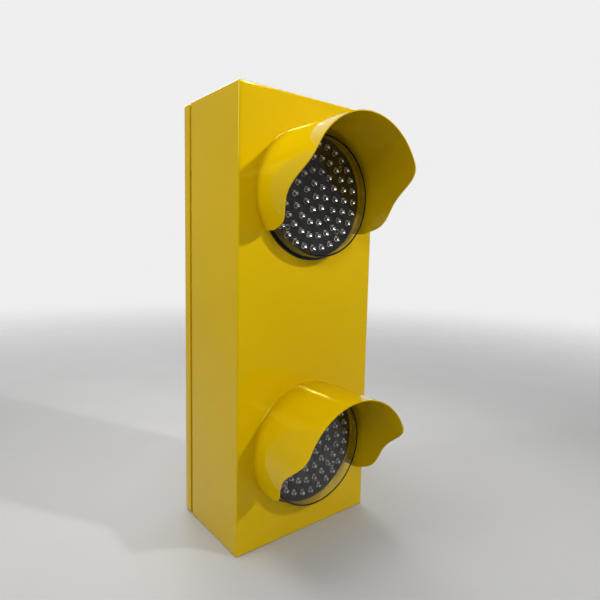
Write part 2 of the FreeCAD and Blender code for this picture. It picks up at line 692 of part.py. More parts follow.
def wire(points):
    path, radii = rounded_path(points)
    first = V(*points[0])
    way = V(*points[1]) - first
    section = Part.Wire(Part.makeCircle(wire_r, first, way))
    tube = path.makePipeShell([section], True, False)
    expected = math.pi * wire_r ** 2 * path.Length
    print("  route", round(path.Length, 1), "mm, tightest radius", round(min(radii), 1),
          "widest", round(max(radii), 1), "volume ratio", round(tube.Volume / expected, 4))
    return tube


def placed(shape, origin, x_way, z_way):
    """Put a shape drawn in local axes at origin, its x along x_way, its z near z_way."""
    x = V(*x_way)
    x.normalize()
    z = V(*z_way)
    z = z - x * z.dot(x)
    z.normalize()
    y = z.cross(x)
    matrix = FreeCAD.Matrix(x.x, y.x, z.x, origin[0], x.y, y.y, z.y, origin[1],
                            x.z, y.z, z.z, origin[2], 0, 0, 0, 1)
    moved = shape.copy()
    moved.Placement = FreeCAD.Placement(matrix)
    return moved


def rod_along(radius, x0, x1, z=0.0):
    """Cylinder along local x."""
    return Part.makeCylinder(radius, x1 - x0, V(x0, 0, z), V(1, 0, 0))


def turret_places():
    return (pole_long / 2 - screw_apart, pole_long / 2 + screw_apart)


def pole_body():
    """Nylon body of one pole, drawn from its wire entry along local x."""
    half = pole_wide / 2
    core = Part.makeBox(11.0, pole_wide, 7.4, V(pole_long / 2 - 5.5, -half, -4.2))
    upright = [e for e in core.Edges if abs(e.tangentAt(e.FirstParameter).x) > 0.99]
    core = core.makeFillet(1.2, upright)
    body = core.fuse(rod_along(3.8, 0, pole_long))
    for x in turret_places():
        body = body.fuse(Part.makeCylinder(2.9, 6.4, V(x, 0, 0)))
    body = body.removeSplitter()
    body = body.cut(rod_along(wire_r + wire_clear, -1, pole_long + 1))
    body = body.cut(rod_along(2.35, wire_in_pole, pole_long - wire_in_pole))
    for x0, r0, r1 in ((0, 2.8, wire_r), (pole_long - 2.0, wire_r, 2.8)):
        body = body.cut(Part.makeCone(r0, r1, 2.0, V(x0, 0, 0), V(1, 0, 0)))
    for x in turret_places():
        body = body.cut(Part.makeCylinder(1.95, 8, V(x, 0, 0)))
    return body


def pole_tube():
    """Brass tube that joins the two wires of a pole."""
    inset = wire_in_pole + 0.04
    outside = rod_along(2.3, inset, pole_long - inset)
    return outside.cut(rod_along(0.8, 0, pole_long))


def pole_screw(x):
    screw = Part.makeCylinder(1.85, 2.6, V(x, 0, 2.5))
    return screw.cut(box(x - 2, x + 2, -0.35, 0.35, 4.3, 6))


def terminal_blocks():
    tubes = []
    screws = []
    for name, ends in poles.items():
        bodies = []
        toward = (0, 1, 0)
        if len(ends) == 2:
            across = V(*ends[1][0]) - V(*ends[0][0])
            axis = V(*ends[0][1]) - V(*ends[0][0])
            toward = axis.cross(across)
            if toward.y < 0:
                toward = toward * -1
        for entry, exit in ends:
            way = V(*exit) - V(*entry)
            bodies.append(placed(pole_body(), entry, way, toward))
            tubes.append(placed(pole_tube(), entry, way, toward))
            for x in turret_places():
                screws.append(placed(pole_screw(x), entry, way, toward))
        block = bodies[0]
        if len(ends) == 2:
            pitch = across.Length
            side = 1 if toward.cross(axis).dot(across) > 0 else -1
            web = Part.makeBox(web_wide, pitch - 6.0, 3.0, V((pole_long - web_wide) / 2, 3.0, -3.0))
            if side < 0:
                web = web.mirror(V(0, 0, 0), V(0, 1, 0))
            web = placed(web, ends[0][0], axis, toward)
            block = bodies[0].fuse([bodies[1], web]).removeSplitter()
        save(name, block)
    save("terminal_tubes", group(tubes))
    save("terminal_screws", group(screws))


def tag(spec):
    """Paper tag: a flat face with a loop behind it round the wires."""
    middle, way, length, wide, loop = spec
    paper = 0.4
    side0, side1, deep = loop
    top = wire_r + 0.25
    face = Part.makeBox(length, wide, paper, V(-length / 2, -wide / 2, top))
    ring = Part.makeBox(length, side1 - side0 + 2 * paper, deep + 2 * paper,
                        V(-length / 2, side0 - paper, top - deep - paper))
    hollow = Part.makeBox(length + 2, side1 - side0, deep, V(-length / 2 - 1, side0, top - deep))
    return placed(face.fuse(ring).cut(hollow).removeSplitter(), middle, way, (0, 1, 0))


def wiring():
    for name, points in wires.items():
        save(name, wire(points))
    terminal_blocks()
    for name, spec in tags.items():
        save(name, tag(spec))


housing()
door()
door_posts()
hinges()
cable_gland()
modules()
wiring()
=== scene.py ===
"""Looks of a two-lamp traffic signal head, in metres, in the CAD model's frame.

The CAD nodes stay as they are and get procedural materials. The wires are replaced by
smooth curves, and small details that the CAD leaves out are added: the lamps' lead frames,
the boards' print and pads, white rings at the LEDs' flanges that are painted highlight for
their glints, and the welds. A camera, a pale floor, a pale studio and its lights come with them.
"""
import json
import math
import random

import bmesh
import bpy
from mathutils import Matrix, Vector


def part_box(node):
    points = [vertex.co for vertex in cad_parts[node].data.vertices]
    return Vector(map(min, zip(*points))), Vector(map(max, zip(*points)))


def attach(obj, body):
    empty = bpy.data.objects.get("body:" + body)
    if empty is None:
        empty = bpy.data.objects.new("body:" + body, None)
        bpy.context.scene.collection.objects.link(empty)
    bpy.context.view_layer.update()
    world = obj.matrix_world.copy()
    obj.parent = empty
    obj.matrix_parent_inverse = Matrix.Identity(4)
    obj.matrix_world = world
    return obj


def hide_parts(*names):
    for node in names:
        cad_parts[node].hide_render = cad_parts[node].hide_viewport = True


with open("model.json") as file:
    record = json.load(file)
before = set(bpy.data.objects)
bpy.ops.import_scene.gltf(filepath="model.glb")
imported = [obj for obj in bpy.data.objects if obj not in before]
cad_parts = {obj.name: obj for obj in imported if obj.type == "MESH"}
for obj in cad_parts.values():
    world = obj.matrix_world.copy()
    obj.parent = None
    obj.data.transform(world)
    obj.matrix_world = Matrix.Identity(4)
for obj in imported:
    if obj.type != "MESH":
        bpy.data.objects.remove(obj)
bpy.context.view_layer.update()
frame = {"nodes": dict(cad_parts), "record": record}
nodes = frame["nodes"]

# ---------------------------------------------------------------- places in the frame
MM = 0.001
WRAP_LO, WRAP_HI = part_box("housing_wrap")
FRONT_Y = WRAP_LO.y
CENTRE_X = 0.5 * (WRAP_LO.x + WRAP_HI.x)
CASE_TOP = WRAP_HI.z
WALL = 1.5 * MM


def middle(node_name):
    low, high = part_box(node_name)
    return 0.5 * (low + high)


LAMPS = {name: middle(name + "_led_board") for name in ("upper", "lower")}
# How far each module is turned, in degrees, and its LED rings as (radius in mm, count).
CLOCK = {"upper": -2.4, "lower": 3.5}
RINGS = [(0.0, 1), (20.3, 7), (40.5, 14), (60.5, 22), (80.0, 28)]
# A board's screws: the radius of their circle, the first one's angle, and their count.
SCREW_RING = 71.5 * MM
SCREW_CLOCK = 45.5
SCREWS = 4

# ---------------------------------------------------------------- camera
camera_data = bpy.data.cameras.new("camera")
camera_data.lens = 28.784
camera_data.sensor_width = 36.0
camera_data.clip_start = 0.01
camera = bpy.data.objects.new("camera", camera_data)
camera.location = (-0.4902, -0.6900, 0.4774)
camera.rotation_euler = (math.radians(83.635), math.radians(-1.219), math.radians(-38.146))
bpy.context.scene.collection.objects.link(camera)
bpy.context.scene.camera = camera

# ---------------------------------------------------------------- wires
WIRE_DIAMETER = 0.0022
ROUTES = {
    "link_wire_black": [
        (0.009, -0.0835, 0.4903), (0.009, -0.0715, 0.4903), (-0.002, -0.067, 0.4885),
        (-0.014, -0.0685, 0.478), (-0.03, -0.072, 0.461), (-0.048, -0.077, 0.44),
        (-0.0665, -0.0815, 0.4185), (-0.076, -0.0835, 0.3965), (-0.066, -0.085, 0.3755),
        (-0.0545, -0.0855, 0.3605), (-0.049, -0.0855, 0.3405), (-0.041, -0.0855, 0.3145),
        (-0.019, -0.085, 0.296), (0.012, -0.084, 0.2765), (0.04, -0.0825, 0.2585),
        (0.076, -0.0795, 0.2485), (0.106, -0.0755, 0.2305), (0.124, -0.0705, 0.2025),
        (0.1305, -0.0655, 0.1675), (0.131, -0.0605, 0.1355), (0.127, -0.057, 0.1075),
        (0.112, -0.057, 0.0825), (0.092, -0.059, 0.0715), (0.0714, -0.0601, 0.0627),
        (0.062, -0.059, 0.0571)],
    "link_wire_yellow": [
        (0.009, -0.0835, 0.4877), (0.009, -0.0715, 0.4877), (-0.0025, -0.0675, 0.485),
        (-0.013, -0.07, 0.4743), (-0.029, -0.0745, 0.4595), (-0.049, -0.0795, 0.4405),
        (-0.067, -0.0846, 0.418), (-0.073, -0.0851, 0.3971), (-0.0637, -0.086, 0.3766),
        (-0.0521, -0.086, 0.3614), (-0.0465, -0.086, 0.3412), (-0.0389, -0.086, 0.316),
        (-0.0175, -0.0857, 0.2981), (0.0134, -0.0851, 0.2787), (0.0411, -0.0845, 0.2607),
        (0.0763, -0.0823, 0.2493), (0.105, -0.0783, 0.231), (0.1215, -0.0725, 0.2017),
        (0.1279, -0.0663, 0.1675), (0.1283, -0.0613, 0.1355), (0.1255, -0.0595, 0.1069),
        (0.113, -0.0596, 0.08), (0.096, -0.0613, 0.0645), (0.0769, -0.0621, 0.052),
        (0.0677, -0.061, 0.0461)],
    "tail_wire_black": [
        (0.0077, -0.0835, 0.084), (0.0077, -0.0715, 0.084), (0.003, -0.0605, 0.0775),
        (-0.003, -0.0525, 0.0645), (-0.0035, -0.049, 0.0515), (0.008, -0.0485, 0.047),
        (0.025, -0.0515, 0.0475), (0.0449, -0.0569, 0.0468), (0.0543, -0.058, 0.0524)],
    "tail_wire_yellow": [
        (0.0077, -0.0835, 0.0872), (0.0077, -0.0695, 0.0872), (0.0025, -0.0575, 0.0805),
        (-0.006, -0.0485, 0.0695), (-0.006, -0.045, 0.0555), (0.006, -0.045, 0.0465),
        (0.022, -0.0495, 0.0425), (0.038, -0.0545, 0.038), (0.0506, -0.0589, 0.0351),
        (0.0598, -0.06, 0.041)],
    "red_wire_1": [
        (0.0096, -0.0835, 0.0814), (0.0096, -0.0725, 0.0814), (0.0115, -0.0655, 0.0715),
        (0.01, -0.063, 0.0585), (0.0017, -0.0585, 0.0456), (-0.0062, -0.0585, 0.038)],
    "red_wire_2": [
        (0.0108, -0.0835, 0.085), (0.0108, -0.0705, 0.085), (0.014, -0.062, 0.0745),
        (0.014, -0.06, 0.0575), (0.009, -0.0585, 0.038), (0.0011, -0.0585, 0.0304)],
    "supply_wire_black": [
        (0.0058, -0.0835, 0.0814), (0.0058, -0.0715, 0.0814), (0.0045, -0.0625, 0.0715),
        (0.006, -0.058, 0.056), (0.0085, -0.0535, 0.041), (0.0233, -0.0487, 0.0367),
        (0.0262, -0.0465, 0.0263)],
    "earth_wire_green": [
        (0.0046, -0.0835, 0.085), (0.0046, -0.0705, 0.085), (-0.002, -0.0625, 0.0765),
        (-0.0065, -0.0575, 0.0645), (-0.004, -0.055, 0.0515), (0.003, -0.053, 0.0415),
        (0.0137, -0.0487, 0.0342), (0.0166, -0.0465, 0.0238)],
}
WIRE_SLOTS = {
    "link_wire_black": "wire_black", "link_wire_yellow": "wire_yellow",
    "tail_wire_black": "wire_black", "tail_wire_yellow": "wire_yellow",
    "red_wire_1": "wire_red", "red_wire_2": "wire_red",
    "supply_wire_black": "wire_black", "earth_wire_green": "wire_green",
}


def wire_curve(name, points):
    """Round sleeve along a smooth NURBS spline, whose control points are the route's points."""
    data = bpy.data.curves.new(name + "_sleeve", "CURVE")
    data.dimensions = "3D"
    data.bevel_depth = 0.5 * WIRE_DIAMETER
    data.bevel_resolution = 4
    data.resolution_u = 10
    data.use_fill_caps = True
    spline = data.splines.new("NURBS")
    spline.points.add(len(points) - 1)
    for target, point in zip(spline.points, points):
        target.co = (*point, 1.0)
    spline.order_u = 3
    spline.use_endpoint_u = True
    piece = bpy.data.objects.new(name + "_sleeve", data)
    bpy.context.scene.collection.objects.link(piece)
    return piece


def add_wires():
    for name, points in ROUTES.items():
        piece = wire_curve(name, points)
        piece.data.materials.append(MATERIALS[WIRE_SLOTS[name]])
        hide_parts(name)
        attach(piece, "case")


# ---------------------------------------------------------------- material helpers
# Places of the sockets on a Mix node in RGBA mode; their names are not unique.
MIX_FACTOR, MIX_A, MIX_B, MIX_RESULT = 0, 6, 7, 2


def new_material(name, **values):
    """Material with one Principled shader; uniform values go straight on its sockets."""
    material = bpy.data.materials.new(name)
    material.use_nodes = True
    shader = shader_of(material)
    for key, value in values.items():
        shader.inputs[key.replace("_", " ")].default_value = value
    return material


def shader_of(material):
    return material.node_tree.nodes["Principled BSDF"]


def node(owner, kind, **values):
    """New shader node in a material or world, with values on its sockets."""
    made = owner.node_tree.nodes.new(kind)
    for key, value in values.items():
        made.inputs[key.replace("_", " ")].default_value = value
    return made


def link(owner, start, end):
    owner.node_tree.links.new(start, end)


def coordinates(owner, kind="Object"):
    return node(owner, "ShaderNodeTexCoord").outputs[kind]


def noise(material, scale, detail=2.0, stretch=None):
    texture = node(material, "ShaderNodeTexNoise", Scale=scale, Detail=detail)
    source = coordinates(material)
    if stretch:
        mapping = node(material, "ShaderNodeMapping", Scale=stretch)
        link(material, source, mapping.inputs["Vector"])
        source = mapping.outputs["Vector"]
    link(material, source, texture.inputs["Vector"])
    return texture.outputs["Fac"]


def ramp(material, source, stops):
    """Colour ramp between two (position, colour) stops."""
    made = node(material, "ShaderNodeValToRGB")
    elements = made.color_ramp.elements
    for element, (position, colour) in zip(elements, stops):
        element.position = position
        element.color = (*colour, 1.0)
    link(material, source, made.inputs["Fac"])
    return made.outputs["Color"]


def grey(value):
    return (value, value, value)


def vary_colour(material, scale, dark, light):
    source = noise(material, scale, 3.0)
    colour = ramp(material, source, [(0.35, dark), (0.65, light)])
    link(material, colour, shader_of(material).inputs["Base Color"])


def vary_roughness(material, scale, low, high, stretch=None):
    source = noise(material, scale, 3.0, stretch)
    value = ramp(material, source, [(0.3, grey(low)), (0.7, grey(high))])
    link(material, value, shader_of(material).inputs["Roughness"])


def bump(material, rows):
    """Bump from (height output, strength, distance) rows, each laid over the one before."""
    normal = None
    for height, strength, distance in rows:
        made = node(material, "ShaderNodeBump", Strength=strength, Distance=distance)
        link(material, height, made.inputs["Height"])
        if normal:
            link(material, normal, made.inputs["Normal"])
        normal = made.outputs["Normal"]
    link(material, normal, shader_of(material).inputs["Normal"])


# ---------------------------------------------------------------- materials
def powder_coat():
    """Gloss traffic-yellow powder coat with a slight orange peel."""
    material = new_material("powder_coat", Metallic=0.0, IOR=1.5, Specular_IOR_Level=0.6,
                            Specular_Tint=(1.0, 0.80, 0.05, 1.0), Coat_Weight=0.12,
                            Coat_Roughness=0.03)
    vary_colour(material, 4.0, (0.655, 0.432, 0.0006), (0.695, 0.458, 0.0008))
    vary_roughness(material, 30.0, 0.045, 0.09)
    peel = noise(material, 330.0, 1.0)
    sag = noise(material, 14.0, 1.0)
    bump(material, [(peel, 0.035, 0.0003), (sag, 0.03, 0.002)])
    return material


def black_paint():
    """Semi-gloss black paint on the hinges."""
    material = new_material("black_paint", Metallic=0.0, Coat_Weight=0.3, Coat_Roughness=0.15)
    vary_colour(material, 60.0, (0.012, 0.012, 0.012), (0.022, 0.022, 0.021))
    vary_roughness(material, 180.0, 0.28, 0.45)
    bump(material, [(noise(material, 900.0), 0.08, 0.0003)])
    return material


def dark_steel():
    """Near-black steel for screws; on the small screws sunk in the boards and terminal blocks its
    darkness is painted shade for the holes they sit in.
    """
    material = new_material("dark_steel", Metallic=1.0)
    vary_colour(material, 300.0, grey(0.03), grey(0.07))
    vary_roughness(material, 600.0, 0.30, 0.50)
    return material


def steel():
    """Bare machined steel."""
    material = new_material("steel", Metallic=1.0)
    vary_colour(material, 200.0, (0.42, 0.42, 0.41), (0.60, 0.60, 0.58))
    vary_roughness(material, 500.0, 0.22, 0.42)
    bump(material, [(noise(material, 1500.0), 0.06, 0.0002)])
    return material


def zinc():
    """Bright zinc plate with rolling marks."""
    material = new_material("zinc", Metallic=1.0)
    vary_colour(material, 90.0, (0.52, 0.51, 0.47), (0.72, 0.71, 0.66))
    vary_roughness(material, 220.0, 0.16, 0.34, stretch=(1.0, 1.0, 8.0))
    bump(material, [(noise(material, 900.0, stretch=(1.0, 1.0, 6.0)), 0.08, 0.0002)])
    return material


def moulded(name, dark, light, rough_low, rough_high):
    """Moulded plastic with a fine spark-eroded grain."""
    material = new_material(name, Metallic=0.0, Specular_IOR_Level=0.35)
    vary_colour(material, 30.0, dark, light)
    vary_roughness(material, 90.0, rough_low, rough_high)
    bump(material, [(noise(material, 1400.0, 3.0), 0.10, 0.0003)])
    return material


def rubber():
    """Matt black rubber of the gaskets, plugs and seals."""
    material = new_material("rubber", Metallic=0.0)
    vary_colour(material, 120.0, (0.010, 0.010, 0.010), (0.020, 0.020, 0.020))
    vary_roughness(material, 250.0, 0.55, 0.75)
    bump(material, [(noise(material, 1100.0, 3.0), 0.15, 0.0003)])
    return material


def clear_cover():
    """Clear polycarbonate with faint moulding waves."""
    material = new_material("clear_cover", Metallic=0.0, Transmission_Weight=1.0, IOR=1.52,
                            Specular_Tint=(0.4, 0.4, 0.4, 1.0),
                            Base_Color=(0.985, 0.985, 0.985, 1.0))
    vary_roughness(material, 25.0, 0.0, 0.012)
    bump(material, [(noise(material, 18.0, 1.0), 0.02, 0.0006)])
    return material


def clear_epoxy():
    """Water-clear epoxy of the LEDs."""
    material = new_material("clear_epoxy", Metallic=0.0, Transmission_Weight=1.0, IOR=1.5,
                            Base_Color=(0.97, 0.98, 0.98, 1.0))
    vary_roughness(material, 300.0, 0.01, 0.04)
    return material


def circuit_board():
    """Dark solder mask with faint tracks under it."""
    material = new_material("circuit_board", Metallic=0.0, Specular_IOR_Level=0.3)
    vary_colour(material, 45.0, (0.007, 0.007, 0.007), (0.012, 0.012, 0.011))
    vary_roughness(material, 140.0, 0.35, 0.5)
    tracks = node(material, "ShaderNodeTexVoronoi", Scale=160.0)
    link(material, coordinates(material), tracks.inputs["Vector"])
    bump(material, [(tracks.outputs["Distance"], 0.06, 0.0002),
                    (noise(material, 1500.0), 0.05, 0.0001)])
    return material


def brass():
    """Turned brass inside the terminal blocks."""
    material = new_material("brass", Metallic=1.0)
    vary_colour(material, 150.0, (0.55, 0.38, 0.14), (0.72, 0.52, 0.22))
    vary_roughness(material, 400.0, 0.25, 0.45)
    bump(material, [(noise(material, 1500.0), 0.05, 0.0002)])
    return material


def sleeve(name, dark, light):
    """Soft PVC wire sleeve."""
    material = new_material(name, Metallic=0.0, Specular_IOR_Level=0.35)
    vary_colour(material, 60.0, dark, light)
    vary_roughness(material, 300.0, 0.30, 0.48)
    bump(material, [(noise(material, 900.0), 0.06, 0.0002)])
    return material


def striped_sleeve(name, dark, light, stripe):
    """Wire sleeve with a second colour along the side that faces one way."""
    material = sleeve(name, dark, light)
    base = shader_of(material).inputs["Base Color"]
    ground = base.links[0].from_socket
    facing = node(material, "ShaderNodeVectorMath")
    facing.operation = "DOT_PRODUCT"
    facing.inputs[1].default_value = (0.93, 0.25, 0.27)
    link(material, coordinates(material, "Normal"), facing.inputs[0])
    mask = ramp(material, facing.outputs["Value"], [(0.72, grey(0.0)), (0.76, grey(1.0))])
    mix = node(material, "ShaderNodeMix")
    mix.data_type = "RGBA"
    link(material, mask, mix.inputs[MIX_FACTOR])
    link(material, ground, mix.inputs[MIX_A])
    mix.inputs[MIX_B].default_value = (*stripe, 1.0)
    link(material, mix.outputs[MIX_RESULT], base)
    return material


def nylon():
    """Milky nylon of the terminal blocks."""
    material = new_material("nylon", Metallic=0.0, Subsurface_Weight=0.3, Subsurface_Scale=0.003)
    vary_colour(material, 70.0, (0.62, 0.60, 0.50), (0.72, 0.71, 0.63))
    vary_roughness(material, 200.0, 0.35, 0.5)
    bump(material, [(noise(material, 1300.0), 0.08, 0.0002)])
    return material


def paper_tape():
    """Blank white paper tape, slightly creased."""
    material = new_material("paper_tape", Metallic=0.0)
    vary_colour(material, 110.0, (0.66, 0.66, 0.64), (0.80, 0.80, 0.78))
    vary_roughness(material, 250.0, 0.45, 0.65)
    bump(material, [(noise(material, 260.0, 3.0), 0.25, 0.0006)])
    return material


def silver():
    """Bright silver plate on the lead frames and pads."""
    material = new_material("silver", Metallic=1.0)
    vary_colour(material, 300.0, (0.80, 0.79, 0.76), (0.92, 0.91, 0.88))
    vary_roughness(material, 600.0, 0.12, 0.28)
    return material


def mill_scale():
    """Dull dark scale on bare steel in the weld pits."""
    material = new_material("scale", Metallic=0.0)
    vary_colour(material, 700.0, (0.012, 0.008, 0.005), (0.05, 0.03, 0.015))
    vary_roughness(material, 900.0, 0.6, 0.85)
    return material


def white_ink_and_glint():
    """White ink on the boards: print for the dashes, and painted highlight for the rings at the
    LEDs' flanges.
    """
    material = new_material("white_ink_and_glint", Metallic=0.0)
    vary_colour(material, 300.0, grey(0.78), grey(0.88))
    vary_roughness(material, 500.0, 0.4, 0.6)
    return material


def floor_paint():
    """Matt pale floor that fades into the studio far from the object."""
    material = new_material("floor", Metallic=0.0)
    vary_colour(material, 2.0, grey(0.50), grey(0.52))
    vary_roughness(material, 6.0, 0.55, 0.7)
    distance = node(material, "ShaderNodeVectorMath")
    distance.operation = "LENGTH"
    link(material, coordinates(material), distance.inputs[0])
    fade = node(material, "ShaderNodeMapRange", From_Min=0.7, From_Max=3.4, To_Min=1.0, To_Max=0.0)
    fade.interpolation_type = "SMOOTHSTEP"
    link(material, distance.outputs["Value"], fade.inputs["Value"])
    link(material, fade.outputs["Result"], shader_of(material).inputs["Alpha"])
    return material


MATERIALS = {
    "case_paint": powder_coat(),
    "hinge_black": black_paint(),
    "plain_steel": steel(),
    "dark_steel": dark_steel(),
    "zinc_plate": zinc(),
    "gland_plastic": moulded("gland_plastic", grey(0.015), grey(0.028), 0.35, 0.5),
    "seal_rubber": rubber(),
    "clear_cover": clear_cover(),
    "module_black": moulded("module_black", (0.008, 0.008, 0.008), (0.015, 0.015, 0.014),
                            0.36, 0.52),
    "board_dark": circuit_board(),
    "led_clear": clear_epoxy(),
    "driver_parts": moulded("driver_parts", (0.02, 0.06, 0.02), (0.04, 0.09, 0.03),
                            0.4, 0.6),
    "wire_black": sleeve("wire_black", grey(0.006), grey(0.012)),
    "wire_yellow": sleeve("wire_yellow", (0.80, 0.40, 0.002), (0.90, 0.48, 0.004)),
    "wire_red": sleeve("wire_red", (0.16, 0.004, 0.008), (0.24, 0.008, 0.014)),
    "wire_green": striped_sleeve("wire_green", (0.006, 0.08, 0.035), (0.012, 0.13, 0.055),
                                 (0.62, 0.40, 0.01)),
    "terminal_nylon": nylon(),
    "terminal_brass": brass(),
    "tag_paper": paper_tape(),
    "white_ink_and_glint": white_ink_and_glint(),
    "silver": silver(),
    "scale": mill_scale(),
}


def dress_nodes():
    """Give each CAD node the material of its slot; the small recessed screws of the boards and
    terminal blocks get near-black steel instead, as painted shade for the holes they sit in.
    """
    for sub in frame["record"]["subparts"]:
        name = sub["material_slot"]
        # Near-black steel on these screws is painted shade for the holes they sit in.
        if sub["node"].endswith(("board_screws", "terminal_screws")):
            name = "dark_steel"
        for slot in nodes[sub["node"]].material_slots:
            slot.material = MATERIALS[name]


# ---------------------------------------------------------------- mesh helpers
def add_piece(name, mesh, slot, material=None, smooth_angle=35.0):
    """Make a finished mesh a piece on the case; its material is the slot's, unless given."""
    target = bpy.data.meshes.new(name)
    bmesh.ops.recalc_face_normals(mesh, faces=mesh.faces)
    mesh.to_mesh(target)
    mesh.free()
    piece = bpy.data.objects.new(name, target)
    bpy.context.scene.collection.objects.link(piece)
    piece.data.materials.append(material or MATERIALS[slot])
    target.shade_smooth()
    target.set_sharp_from_angle(angle=math.radians(smooth_angle))
    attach(piece, "case")
    return piece


def polar(radius, degrees):
    """The two coordinates of a point at a radius and an angle."""
    turn = math.radians(degrees)
    return radius * math.cos(turn), radius * math.sin(turn)


def turned_ring(mesh, profile, centre, steps):
    """Closed ring about an axis along y, from (radius, y) corners in metres."""
    rows = []
    for k in range(steps):
        x, z = polar(1.0, 360.0 * k / steps)
        rows.append([mesh.verts.new((centre.x + r * x, y, centre.z + r * z)) for r, y in profile])
    for k in range(steps):
        bridge(mesh, rows[k], rows[(k + 1) % steps])


def bridge(mesh, here, after):
    """Faces between two closed rows of points."""
    for j in range(len(here)):
        i = (j + 1) % len(here)
        mesh.faces.new((here[j], here[i], after[i], after[j]))


def flat_ring(mesh, inner, outer, y0, y1, centre, steps):
    """Washer about an axis along y."""
    turned_ring(mesh, [(inner, y0), (outer, y0), (outer, y1), (inner, y1)], centre, steps)


def bar(mesh, x0, x1, y0, y1, z0, z1):
    """Block between two corners."""
    corners = [(x0, z0), (x1, z0), (x1, z1), (x0, z1)]
    front, back = [[mesh.verts.new((x, y, z)) for x, z in corners] for y in (y0, y1)]
    mesh.faces.new(front)
    mesh.faces.new(back[::-1])
    bridge(mesh, front, back)


BEAD_RINGS, BEAD_STEPS = 3, 10


def bead(mesh, centre, out, along, long, wide, tall):
    """Low weld bead: a half ellipsoid on a surface, its length along a direction."""
    out, along = Vector(out).normalized(), Vector(along).normalized()
    side = out.cross(along)
    rows = []
    for ring in range(BEAD_RINGS):
        across, rise = polar(1.0, 90.0 * ring / BEAD_RINGS)
        row = []
        for k in range(BEAD_STEPS):
            x, y = polar(across, 360.0 * k / BEAD_STEPS)
            row.append(mesh.verts.new(centre + along * (0.5 * long * x) + side * (0.5 * wide * y)
                                      + out * (tall * rise)))
        rows.append(row)
    top = mesh.verts.new(centre + out * tall)
    for low_row, high_row in zip(rows, rows[1:]):
        bridge(mesh, low_row, high_row)
    for k in range(BEAD_STEPS):
        mesh.faces.new((rows[-1][k], rows[-1][(k + 1) % BEAD_STEPS], top))
    mesh.faces.new(rows[0][::-1])


# ---------------------------------------------------------------- lamp details
# An LED's lead frame, in mm: how far the cup's rim stands off the board, the cup's corners
# as (radius, depth behind the rim), each post's x range and its start behind the rim, and
# the posts' half width and the gap they leave to the board.
CUP_STAND = 4.9
CUP_CORNERS = [(0.6, 1.1), (1.55, 0.0), (1.9, 0.0), (1.5, 1.9), (0.6, 1.9)]
LEAD_POSTS = [(-1.0, -0.4, 1.0), (0.5, 1.1, 2.2)]
POST_HALF_WIDE = 0.6
POST_GAP = 0.3

# Print, painted glints and pads on a board, in mm: how far they stand proud of it and reach into
# it, the dash above an LED, and the inner and outer radii of the white rings round the LEDs, which
# are painted highlight for each LED's flange glint, and of the pads.
MARK_PROUD, MARK_SUNK = 0.06, 0.02
DASH_HALF_LONG, DASH_RISE, DASH_WIDE = 2.8, 4.5, 0.8
FLANGE_GLINT_RING = (3.0, 3.8)
PAD_RING = (3.1, 4.2)


def lamp_places(name):
    """Centres of a module's LEDs, on the front face of its board."""
    board_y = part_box(name + "_led_board")[0].y
    centre = LAMPS[name]
    for radius, count in RINGS:
        for k in range(count):
            x, z = polar(radius * MM, CLOCK[name] + 360.0 * k / count)
            yield Vector((centre.x + x, board_y, centre.z + z))


def lead_frames(name):
    """Reflector cup on one post, and the second post, inside every LED."""
    mesh = bmesh.new()
    for spot in lamp_places(name):
        rim_y = spot.y - CUP_STAND * MM
        cup = [(r * MM, rim_y + y * MM) for r, y in CUP_CORNERS]
        turned_ring(mesh, cup, spot, 14)
        for x0, x1, start in LEAD_POSTS:
            bar(mesh, spot.x + x0 * MM, spot.x + x1 * MM,
                rim_y + start * MM, spot.y - POST_GAP * MM,
                spot.z - POST_HALF_WIDE * MM, spot.z + POST_HALF_WIDE * MM)
    add_piece(name + "_lead_frames", mesh, "plain_steel", MATERIALS["silver"], smooth_angle=50.0)


def board_marks(name):
    """White ring round every LED as painted highlight for its flange glint, a printed dash above
    it, and a tinned pad at each screw.
    """
    print_and_glint_mesh = bmesh.new()
    board_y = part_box(name + "_led_board")[0].y
    raised, sunk = board_y - MARK_PROUD * MM, board_y + MARK_SUNK * MM
    for spot in lamp_places(name):
        dash_z = spot.z + DASH_RISE * MM
        bar(print_and_glint_mesh, spot.x - DASH_HALF_LONG * MM, spot.x + DASH_HALF_LONG * MM, raised, sunk,
            dash_z, dash_z + DASH_WIDE * MM)
        # The ring round each LED is white ink that paints the glint of the LED's flange; the dash
        # above it is print.
        flat_ring(print_and_glint_mesh, FLANGE_GLINT_RING[0] * MM, FLANGE_GLINT_RING[1] * MM, raised, sunk, spot, 20)
    add_piece(name + "_board_print_and_glints", print_and_glint_mesh, "tag_paper", MATERIALS["white_ink_and_glint"])
    pads = bmesh.new()
    for k in range(SCREWS):
        x, z = polar(SCREW_RING, CLOCK[name] + SCREW_CLOCK + 360.0 * k / SCREWS)
        flat_ring(pads, PAD_RING[0] * MM, PAD_RING[1] * MM, raised, sunk,
                  LAMPS[name] + Vector((x, 0.0, z)), 28)
    add_piece(name + "_board_pads", pads, "zinc_plate", MATERIALS["silver"])


# ---------------------------------------------------------------- weld details
# A visor's weld, in mm: the fillet's leg and how far it reaches into the sheets, and a
# tack's length, width and height. TACK_END is the angle, in degrees, from an end to a tack.
FILLET_LEG = 0.9
FILLET_SUNK = 0.2
TACKS = 9
TACK_END = 6.0
TACK_SIZE = (7.0, 2.6, 1.3)
# The inner seams, in mm: half their length, and how far the middle of a weld stands clear of
# the corner, both ways.
SEAM_REACH = 118.0
SEAM_CLEAR = 0.3
# A door post's radius, and its collar's corners as (beyond that radius, y from the foot), in mm.
POST_R = 4.5
COLLAR_CORNERS = [(-0.3, -0.2), (1.1, -0.2), (0.4, 0.5), (-0.3, 1.1)]


